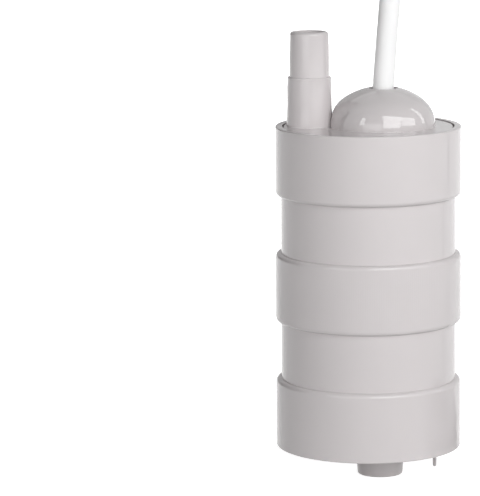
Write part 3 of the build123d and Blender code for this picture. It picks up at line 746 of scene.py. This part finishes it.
# Motor capsule
# The dry cup that holds the motor above the pump, moulded in the dark plastic. Its floor carries
# the shaft seal, and its rim slides over the lid's collar.
dress("motor_capsule", dark_plastic)


# Shaft seal
# A rubber lip that runs on the shaft, a ring of fine coiled spring wire that presses the lip on, and
# a stamped steel washer that holds both in the capsule's floor.
seal_spring_height = 22.6 * mm
seal_spring_radius = 2.45 * mm
seal_coil_radius, seal_wire_diameter = 0.22 * mm, 0.14 * mm
seal_coil_turns, points_per_coil = 60, 6
spring_wire = make_finish(
    "bright_spring_steel",
    (0.58, 0.58, 0.59),
    colour_drift=0.06,
    roughness=0.24,
    roughness_drift=0.08,
    cloud_size=2 * mm,
    grain_size=0.08 * mm,
    relief=0.004 * mm,
    metallic=1.0,
)


def to_mesh(name, cord):
    """Makes a curve a mesh of its own, at the origin."""
    pick(cord)
    bpy.ops.object.convert(target="MESH")
    piece = bpy.context.object
    piece.name = piece.data.name = name
    return piece


coil_points = []
for number in range(seal_coil_turns * points_per_coil):
    around = 2 * pi * number / (seal_coil_turns * points_per_coil)
    turned = 2 * pi * number / points_per_coil
    reach = seal_spring_radius + seal_coil_radius * cos(turned)
    level = seal_spring_height + seal_coil_radius * sin(turned)
    coil_points.append((motor_x + reach * cos(around), reach * sin(around), level))
seal_spring = smooth_cord("garter_spring_coil", coil_points, seal_wire_diameter, spring_wire, resolution=2)
seal_spring.data.bevel_resolution = 1
seal_spring.data.splines[0].use_endpoint_u = False
seal_spring.data.splines[0].use_cyclic_u = True
seal_spring = to_mesh("garter_spring_coil", seal_spring)
shade(seal_spring, angle=60.0)
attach(seal_spring, "housing")
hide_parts("garter_spring")
dress("lip_seal", black_rubber)
dress("seal_retainer", spring_wire)


# Motor can
# The motor's drawn steel cup with a soft bright zinc plating. It stands in the capsule on its
# shoulder.
plated_steel = make_finish(
    "plated_steel",
    (0.60, 0.60, 0.58),
    colour_drift=0.07,
    roughness=0.3,
    roughness_drift=0.1,
    cloud_size=7 * mm,
    grain_size=0.3 * mm,
    grain_share=0.6,
    relief=0.01 * mm,
    metallic=1.0,
)
dress("motor_can", plated_steel)


# Magnets
# Two curved blocks of dark sintered ferrite, glued inside the can.
ferrite = make_finish(
    "sintered_ferrite",
    (0.035, 0.035, 0.038),
    colour_drift=0.15,
    roughness=0.6,
    roughness_drift=0.1,
    cloud_size=4 * mm,
    grain_size=0.1 * mm,
    grain_share=0.8,
    relief=0.015 * mm,
)
dress("magnets", ferrite)


# Bearings
# Two plain bushes of sintered bronze with oil in their pores: one pressed into the can's floor, the
# other into the end bell.
sintered_bronze = make_finish(
    "sintered_bronze",
    (0.42, 0.27, 0.12),
    colour_drift=0.15,
    roughness=0.45,
    roughness_drift=0.12,
    cloud_size=1.5 * mm,
    grain_size=0.08 * mm,
    grain_share=0.8,
    relief=0.02 * mm,
    metallic=0.9,
)
dress("lower_bearing", sintered_bronze)
dress("upper_bearing", sintered_bronze)


# Shaft
# A ground steel rod that carries the impeller below and the armature above. The fine rings round
# it are the marks of the grinding wheel, and their grooves are darkened with painted shade.
def make_ridged_surface():
    """A second shared effect, as a node group: even ridges along one measure, with painted shade that
    darkens the grooves between. Ridge Share is how much of the relief they make, beside that of the
    finish."""
    group = start_effect(
        "ridged_surface",
        ("Colour", "Height", "Along", "Ridges Per Metre", "Painted Groove Shade", "Ridge Share"),
        ("Colour", "Height"),
    )
    given = add_node(group, "NodeGroupInput", -900, 0)
    turns = add_node(group, "ShaderNodeMath", -700, 200, operation="MULTIPLY")
    part = add_node(group, "ShaderNodeMath", -550, 200, operation="FRACT")
    swing = add_node(group, "ShaderNodeMath", -400, 200, operation="MULTIPLY")
    swing.inputs[1].default_value = pi
    wave = add_node(group, "ShaderNodeMath", -250, 200, operation="SINE")
    # Painted shade: the colour darkens towards the bottom of each groove.
    tone = add_node(group, "ShaderNodeMapRange", -50, 300, inputs={"From Min": 0.0, "From Max": 0.6})
    tint = add_node(group, "ShaderNodeHueSaturation", 150, 200)
    height = add_node(group, "ShaderNodeMix", 150, -100, data_type="FLOAT")
    given_out = add_node(group, "NodeGroupOutput", 400, 0)
    link = group.links.new
    link(given.outputs["Along"], turns.inputs[0])
    link(given.outputs["Ridges Per Metre"], turns.inputs[1])
    link(turns.outputs[0], part.inputs[0])
    link(part.outputs[0], swing.inputs[0])
    link(swing.outputs[0], wave.inputs[0])
    link(wave.outputs[0], tone.inputs["Value"])
    link(given.outputs["Painted Groove Shade"], tone.inputs["To Min"])
    link(given.outputs["Colour"], tint.inputs["Color"])
    link(tone.outputs["Result"], tint.inputs["Value"])
    link(given.outputs["Ridge Share"], height.inputs["Factor"])
    link(given.outputs["Height"], height.inputs["A"])
    link(wave.outputs[0], height.inputs["B"])
    link(tint.outputs["Color"], given_out.inputs["Colour"])
    link(height.outputs["Result"], given_out.inputs["Height"])
    return group


ridged_surface = make_ridged_surface()
ridge_share = 0.8


def add_rings(material, pitch, painted_groove_shade):
    """Puts level rings round a finish, one above the other in steps of the pitch, with painted shade in
    their grooves.
    """
    tree = material.node_tree
    effect = tree.nodes["Group"]
    place = add_node(tree, "ShaderNodeTexCoord", -900, -300)
    split = add_node(tree, "ShaderNodeSeparateXYZ", -700, -300)
    ridges = add_node(tree, "ShaderNodeGroup", -300, -100, node_tree=ridged_surface)
    ridges.inputs["Ridges Per Metre"].default_value = 1 / pitch
    ridges.inputs["Painted Groove Shade"].default_value = painted_groove_shade
    ridges.inputs["Ridge Share"].default_value = ridge_share
    tree.links.new(place.outputs["Object"], split.inputs[0])
    tree.links.new(split.outputs["Z"], ridges.inputs["Along"])
    tree.links.new(effect.outputs["Colour"], ridges.inputs["Colour"])
    tree.links.new(effect.outputs["Height"], ridges.inputs["Height"])
    tree.links.new(ridges.outputs["Colour"], tree.nodes["Principled BSDF"].inputs["Base Color"])
    tree.links.new(ridges.outputs["Height"], tree.nodes["Bump"].inputs["Height"])
    return material


ground_steel = make_finish(
    "ground_steel",
    (0.60, 0.60, 0.61),
    colour_drift=0.04,
    roughness=0.2,
    cloud_size=3 * mm,
    grain_size=0.06 * mm,
    relief=0.002 * mm,
    metallic=1.0,
)
dress("shaft", add_rings(ground_steel, pitch=0.06 * mm, painted_groove_shade=0.85))


# Armature core
# A stack of thin stamped steel plates with five poles, pressed on the shaft. Each plate is 0.5 mm
# thick, and the groove at its edge is darkened with painted shade.
stamped_steel = make_finish(
    "stacked_steel_plates",
    (0.36, 0.36, 0.37),
    colour_drift=0.1,
    roughness=0.38,
    roughness_drift=0.1,
    cloud_size=2 * mm,
    grain_size=0.1 * mm,
    relief=0.03 * mm,
    metallic=1.0,
)
dress("armature_core", add_rings(stamped_steel, pitch=0.5 * mm, painted_groove_shade=0.45))


# Armature windings
# Five coils of copper wire with a clear reddish varnish, one wound round each pole. The turns lie
# side by side from the hub to the shoe and in up to five layers, as many as fit between the poles.
pole_count = 5
pole_half_width = 1.0 * mm
stack_bottom, stack_top = 38.0 * mm, 56.0 * mm
first_turn_reach, last_turn_reach = 3.66 * mm, 7.24 * mm
wire_diameter = 0.38 * mm
turns_along_pole, most_layers = 10, 5
coil_half_angle = radians(29.5)
first_rounding, rounding_growth = 0.6, 0.8
corner_steps = 4
varnished_copper = make_finish(
    "varnished_copper_wire",
    (0.48, 0.15, 0.05),
    colour_drift=0.12,
    roughness=0.28,
    roughness_drift=0.06,
    cloud_size=1.5 * mm,
    grain_size=0.15 * mm,
    relief=0.004 * mm,
    metallic=0.8,
    coat=0.6,
)


def turn_of_wire(reach, layer, turned):
    """One rounded turn round a pole, as points that run up one side and down the other."""
    out = wire_diameter * (layer + 0.5)
    side, low, high = pole_half_width + out, stack_bottom - out, stack_top + out
    rounding = wire_diameter * (first_rounding + rounding_growth * layer)
    points = []
    for corner, (across, level) in enumerate(((side, high), (-side, high), (-side, low), (side, low))):
        middle_y = across - rounding * (1 if across > 0 else -1)
        middle_z = level - rounding * (1 if level == high else -1)
        for number in range(corner_steps):
            angle = pi / 2 * (corner + number / (corner_steps - 1))
            sideways, z = middle_y + rounding * cos(angle), middle_z + rounding * sin(angle)
            x = motor_x + reach * cos(turned) - sideways * sin(turned)
            y = reach * sin(turned) + sideways * cos(turned)
            points.append((x, y, z, 1.0))
    return points


wire_curve = bpy.data.curves.new("armature_wire", "CURVE")
wire_curve.dimensions = "3D"
wire_curve.bevel_depth = wire_diameter / 2
wire_curve.bevel_resolution = 1
for pole in range(pole_count):
    for turn in range(turns_along_pole):
        reach = first_turn_reach + (last_turn_reach - first_turn_reach) * turn / (turns_along_pole - 1)
        room = reach * tan(coil_half_angle) - pole_half_width
        for layer in range(min(most_layers, int(room / wire_diameter))):
            points = turn_of_wire(reach, layer, 2 * pi * pole / pole_count)
            spline = wire_curve.splines.new("POLY")
            spline.points.add(len(points) - 1)
            for knot, place in zip(spline.points, points):
                knot.co = place
            spline.use_cyclic_u = True
windings = bpy.data.objects.new("armature_wire", wire_curve)
bpy.context.scene.collection.objects.link(windings)
windings = to_mesh("armature_wire_turns", windings)
shade(windings, angle=60.0)
paint(windings, varnished_copper)
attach(windings, "rotor")
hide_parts("armature_windings")


# Commutator
# Five copper bars moulded on a nylon hub, turned true on a lathe. Fine rings go round the bars,
# with painted shade in their grooves.
natural_nylon = make_finish(
    "natural_nylon",
    (0.60, 0.57, 0.47),
    colour_drift=0.05,
    roughness=0.42,
    roughness_drift=0.06,
    cloud_size=5 * mm,
    grain_size=0.2 * mm,
    grain_share=0.4,
)
turned_copper = make_finish(
    "turned_copper",
    (0.62, 0.28, 0.14),
    colour_drift=0.16,
    roughness=0.26,
    roughness_drift=0.1,
    cloud_size=1.8 * mm,
    grain_size=0.1 * mm,
    relief=0.006 * mm,
    metallic=1.0,
)
dress("commutator_hub", natural_nylon)
dress("commutator_segments", add_rings(turned_copper, pitch=0.09 * mm, painted_groove_shade=0.75))


# Shaft collars
# Two nylon rings on the shaft that keep the armature from moving up or down between its bearings.
dress("shaft_collars", natural_nylon)


# End bell
# The nylon cap that closes the motor can. It carries the upper bearing, the brush gear and the
# terminals.
dress("end_bell", natural_nylon)


# Terminals, brushes and brush springs
# Two brass blades that stand up through the end bell, two blocks of pressed carbon that run on the
# commutator, and the springy brass strips that press them on.
stamped_brass = make_finish(
    "stamped_brass",
    (0.70, 0.50, 0.20),
    colour_drift=0.08,
    roughness=0.26,
    roughness_drift=0.08,
    cloud_size=2 * mm,
    grain_size=0.12 * mm,
    relief=0.006 * mm,
    metallic=1.0,
)
pressed_carbon = make_finish(
    "pressed_carbon",
    (0.024, 0.024, 0.026),
    colour_drift=0.3,
    roughness=0.48,
    roughness_drift=0.12,
    cloud_size=0.8 * mm,
    grain_size=0.07 * mm,
    grain_share=0.8,
)
dress("terminals", stamped_brass)
dress("brush_springs", stamped_brass)
dress("brushes", pressed_carbon)


# Suppression capacitor
# A small ceramic disc, dipped in glossy orange brown resin, with its leads bent down to the two
# terminals. It keeps the brushes' sparks from disturbing the radio.
dipped_resin = make_finish(
    "dipped_resin",
    (0.50, 0.19, 0.03),
    colour_drift=0.08,
    roughness=0.18,
    cloud_size=2.5 * mm,
    grain_size=0.4 * mm,
    relief=0.03 * mm,
)
dress("capacitor", dipped_resin)


# Supply cores
# The cable's two wires, from the resin down to the motor's terminals, brown on the plus side and
# blue on the minus side, as at the cable's far end.
core_bottom, core_top = (corner.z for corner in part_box("supply_cores"))
core_straight = 6.6 * mm
core_near, core_far = 1.3 * mm, 9.0 * mm
for name, side, finish in (
    ("inner_brown_core", 1, brown_plastic),
    ("inner_blue_core", -1, blue_plastic),
):
    near_x, far_x = motor_x + side * core_near, motor_x + side * core_far
    route = [
        (near_x, 0.0, core_top),
        (near_x, 0.0, core_top - core_straight),
        (far_x, 0.0, core_bottom + core_straight),
        (far_x, 0.0, core_bottom),
    ]
    core = smooth_cord(name, route, core_diameter, finish)
    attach(core, "housing")
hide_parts("supply_cores")


# Outlet lid
# The disc that closes the top, moulded in one with the stepped hose spigot, with a skirt and an
# inner collar that each carry an O-ring in a groove. It is glued into the housing's rebate.
lid_top = 95.5 * mm
lid_skirt_bottom = 86.5 * mm
lid_groove_bottom, lid_groove_top = 88.5 * mm, 90.5 * mm
collar_outer_radius, collar_groove_radius, collar_inner_radius = 13.85 * mm, 12.4 * mm, 11.65 * mm
well_radius = 8.0 * mm
spigot_x = -15.75 * mm
spigot_bore_radius = 3.9 * mm
spigot_foot_radius = 0.3 * mm
spigot_base_radius = 6.2 * mm
large_seat_radius, large_seat_bottom, large_seat_top = 6.0 * mm, 101.0 * mm, 106.0 * mm
step_radius, step_height = 5.87 * mm, 108.9 * mm
small_seat_radius, small_seat_top = 5.35 * mm, 114.9 * mm
tip_radius, tip_height = 5.18 * mm, 121.0 * mm
step_edge_radius, tip_edge_radius = 0.3 * mm, 0.8 * mm
blind_bore_bottom = 94.5 * mm
bore_cut_below, bore_cut_above = 8.0 * mm, 0.5 * mm


def cut_cylinder(piece, radius, bottom, top, x, steps=128):
    """Cuts an upright round hole into a piece."""
    bpy.ops.object.select_all(action="DESELECT")
    middle = (x, 0.0, (bottom + top) / 2)
    bpy.ops.mesh.primitive_cylinder_add(vertices=steps, radius=radius, depth=top - bottom, location=middle)
    cutter = bpy.context.object
    apply_modifier(piece, "BOOLEAN", operation="DIFFERENCE", solver="EXACT", object=cutter)
    bpy.data.objects.remove(cutter)


lid_rim = pulled_ring(
    "lid_rim",
    [
        (flange_radius, lid_top),
        (flange_radius, lid_ledge),
        (skirt_radius, lid_ledge),
        (skirt_radius, lid_groove_top),
        (groove_radius, lid_groove_top),
        (groove_radius, lid_groove_bottom),
        (skirt_radius, lid_groove_bottom),
        (skirt_radius, lid_skirt_bottom),
        (skirt_inner_radius, lid_skirt_bottom),
        (skirt_inner_radius, lid_ledge),
    ],
    steps=256,
)
lid_collar = pulled_ring(
    "lid_collar",
    [
        (collar_outer_radius, lid_ledge),
        (collar_outer_radius, lid_groove_top),
        (collar_groove_radius, lid_groove_top),
        (collar_groove_radius, lid_groove_bottom),
        (collar_outer_radius, lid_groove_bottom),
        (collar_outer_radius, lid_skirt_bottom),
        (collar_inner_radius, lid_skirt_bottom),
        (collar_inner_radius, lid_ledge),
    ],
    x=motor_x,
)
lid_well = pulled_ring("lid_well", [(well_radius, lid_ledge), (well_radius, lid_top)], x=motor_x)
foot_arc = [
    (
        spigot_base_radius + spigot_foot_radius * (1 - sin(angle)),
        lid_top + spigot_foot_radius * (1 - cos(angle)),
    )
    for angle in quarter_turn
]
spigot = pulled_ring(
    "hose_spigot",
    foot_arc
    + [
        (large_seat_radius, large_seat_bottom),
        (large_seat_radius, large_seat_top),
        (step_radius, step_height),
        (small_seat_radius, step_height),
        (small_seat_radius, small_seat_top),
        (tip_radius, tip_height),
        (spigot_bore_radius, tip_height),
        (spigot_bore_radius, blind_bore_bottom),
        (0, blind_bore_bottom),
    ],
    x=spigot_x,
    steps=128,
)
soften(spigot, [(step_radius, step_height)], step_edge_radius, x=spigot_x)
soften(spigot, [(tip_radius, tip_height)], tip_edge_radius, x=spigot_x, segments=8)
soften(spigot, [(spigot_bore_radius, tip_height)], bore_edge_radius, x=spigot_x)
lid = join("outlet_lid_moulding", [lid_rim, lid_collar, lid_well, spigot])
fill_level(lid, lid_top)
fill_level(lid, lid_ledge)
close_up(lid)
soften(lid, [(flange_radius, lid_top)], lid_edge_radius, segments=3)
# The spigot was pulled with a closed bore, so this cut opens it through the disc.
bore_cut_bottom, bore_cut_top = blind_bore_bottom - bore_cut_below, blind_bore_bottom + bore_cut_above
cut_cylinder(lid, spigot_bore_radius, bore_cut_bottom, bore_cut_top, x=spigot_x)
shade(lid)
paint(lid, grey_plastic)
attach(lid, "housing")
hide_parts("outlet_lid")


# O-rings of the lid and the capsule
# The lid's skirt and its inner collar each carry a black rubber ring in a groove, one against the
# housing and one against the motor capsule.
dress("lid_o_ring", black_rubber)
dress("capsule_o_ring", black_rubber)


# Motor spacer
# A short tube in the dark plastic between the motor and the lid. It holds the motor down when the
# lid is on.
dress("motor_spacer", dark_plastic)


# Potting plug and grommet
# Black casting resin fills the lid's well round the cable and keeps water out of the motor. Above
# it a rubber grommet under the dome takes the cable's bending.
cast_resin = make_finish(
    "cast_resin",
    (0.03, 0.03, 0.034),
    colour_drift=0.2,
    roughness=0.16,
    roughness_drift=0.06,
    cloud_size=6 * mm,
    grain_size=0.6 * mm,
    relief=0.05 * mm,
)
dress("potting_plug", cast_resin)
dress("cable_grommet", black_rubber)


# Cable dome
# A low oval cap, moulded in the housing's plastic and glued on the lid over the cable's entry. Its
# foot makes way for the spigot, and the cable leaves through a plain hole a little off its middle.
# The cap's colour is the housing's grey darkened a little, as painted shade.
cap_painted_shade = 0.92
cap_plastic = make_finish(
    "glossy_grey_cap_plastic_painted_shade",
    tuple(cap_painted_shade * part for part in grey_colour),
    colour_drift=0.012,
    roughness=0.05,
    roughness_drift=0.015,
    cloud_size=25 * mm,
    grain_size=0.8 * mm,
    grain_share=0.15,
    relief=0.03 * mm,
    coat=0.6,
)
dome_x = 3.8 * mm
dome_hole_x = 4.0 * mm
dome_radius, dome_side_radius, dome_height = 14.3 * mm, 8.9 * mm, 10.6 * mm
dome_base = 95.7 * mm
dome_wall = 2.0 * mm
dome_hole_radius = 3.9 * mm
dome_hole_edge_radius = 0.3 * mm
relief_radius, relief_overcut = 6.6 * mm, 1.0 * mm
shift_start = 10.0 * mm
arc_steps = 12
side_centre = dome_radius - dome_side_radius
crown_rise = dome_height - dome_side_radius
crown_radius = (side_centre**2 + dome_height**2 - dome_side_radius**2) / (2 * crown_rise)
crown_centre = dome_height - crown_radius
joint_angle = atan2(-crown_centre, side_centre)


def oval_arcs(shrunk):
    """The cap's line from its foot to its hole: the side's tight arc, then the crown's wide one."""
    side, crown = dome_side_radius - shrunk, crown_radius - shrunk
    points = []
    for number in range(arc_steps + 1):
        angle = joint_angle * number / arc_steps
        points.append((side_centre + side * cos(angle), dome_base + side * sin(angle)))
    hole_angle = asin(dome_hole_radius / crown)
    for number in range(1, arc_steps + 1):
        angle = pi / 2 - joint_angle + (hole_angle - pi / 2 + joint_angle) * number / arc_steps
        points.append((crown * sin(angle), dome_base + crown_centre + crown * cos(angle)))
    return points


outer_line, inner_line = oval_arcs(0.0), oval_arcs(dome_wall)
dome = pulled_ring(
    "dome_cap",
    [(dome_radius, lid_top)]
    + outer_line
    + inner_line[::-1]
    + [(dome_radius - dome_wall, lid_top), (dome_radius, lid_top)],
    x=dome_x,
    steps=192,
)
close_up(dome)
soften(dome, [outer_line[-1]], dome_hole_edge_radius, x=dome_x)
# The crown slides over a little, which brings the hole to its place off the middle.
for vertex in dome.data.vertices:
    out = hypot(vertex.co.x - dome_x, vertex.co.y)
    share = min(max((shift_start - out) / (shift_start - dome_hole_radius), 0.0), 1.0)
    vertex.co.x += share * (dome_hole_x - dome_x)
cut_cylinder(dome, relief_radius, lid_top - relief_overcut, dome_base + dome_height, x=spigot_x)
shade(dome)
paint(dome, cap_plastic)
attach(dome, "housing")
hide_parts("cable_dome")
